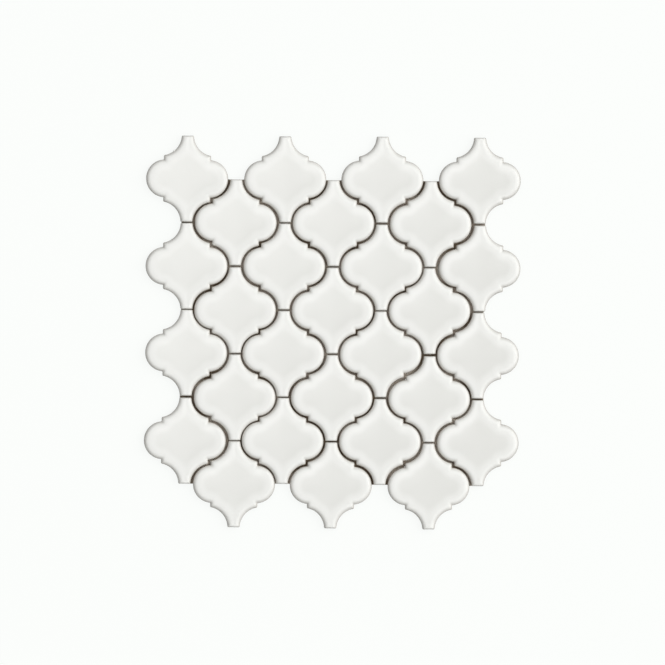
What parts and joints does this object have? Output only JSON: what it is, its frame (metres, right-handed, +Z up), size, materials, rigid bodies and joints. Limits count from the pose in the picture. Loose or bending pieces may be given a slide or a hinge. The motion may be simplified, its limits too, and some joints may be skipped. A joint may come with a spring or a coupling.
{
  "type": "lantern mosaic tile sheet",
  "caption": "Sheet of white glazed lantern-shaped mosaic tiles on a glass-fibre net, in staggered columns with open grout joints and interlocking edges.",
  "frame": {"origin": "middle of the sheet's underside, where the net lies on the floor", "axes": "+Z up out of the glazed faces, +Y along the columns towards the end where the outer columns stand out, +X across the columns"},
  "size_m": [0.2485, 0.26, 0.006],
  "materials": {
    "glazed_tile": "gloss",
    "glass_fibre_net": "matte"
  },
  "bodies": {
    "root": {"tile_column1_row1": "glazed_tile", "tile_column1_row2": "glazed_tile", "tile_column1_row3": "glazed_tile", "tile_column1_row4": "glazed_tile", "tile_column2_row1": "glazed_tile", "tile_column2_row2": "glazed_tile", "tile_column2_row3": "glazed_tile", "tile_column2_row4": "glazed_tile", "tile_column3_row1": "glazed_tile", "tile_column3_row2": "glazed_tile", "tile_column3_row3": "glazed_tile", "tile_column3_row4": "glazed_tile", "tile_column4_row1": "glazed_tile", "tile_column4_row2": "glazed_tile", "tile_column4_row3": "glazed_tile", "tile_column4_row4": "glazed_tile", "tile_column5_row1": "glazed_tile", "tile_column5_row2": "glazed_tile", "tile_column5_row3": "glazed_tile", "tile_column5_row4": "glazed_tile", "tile_column6_row1": "glazed_tile", "tile_column6_row2": "glazed_tile", "tile_column6_row3": "glazed_tile", "tile_column6_row4": "glazed_tile", "tile_column7_row1": "glazed_tile", "tile_column7_row2": "glazed_tile", "tile_column7_row3": "glazed_tile", "tile_column7_row4": "glazed_tile", "net_warp": "glass_fibre_net", "net_weft": "glass_fibre_net"}
  },
  "joints": []
}
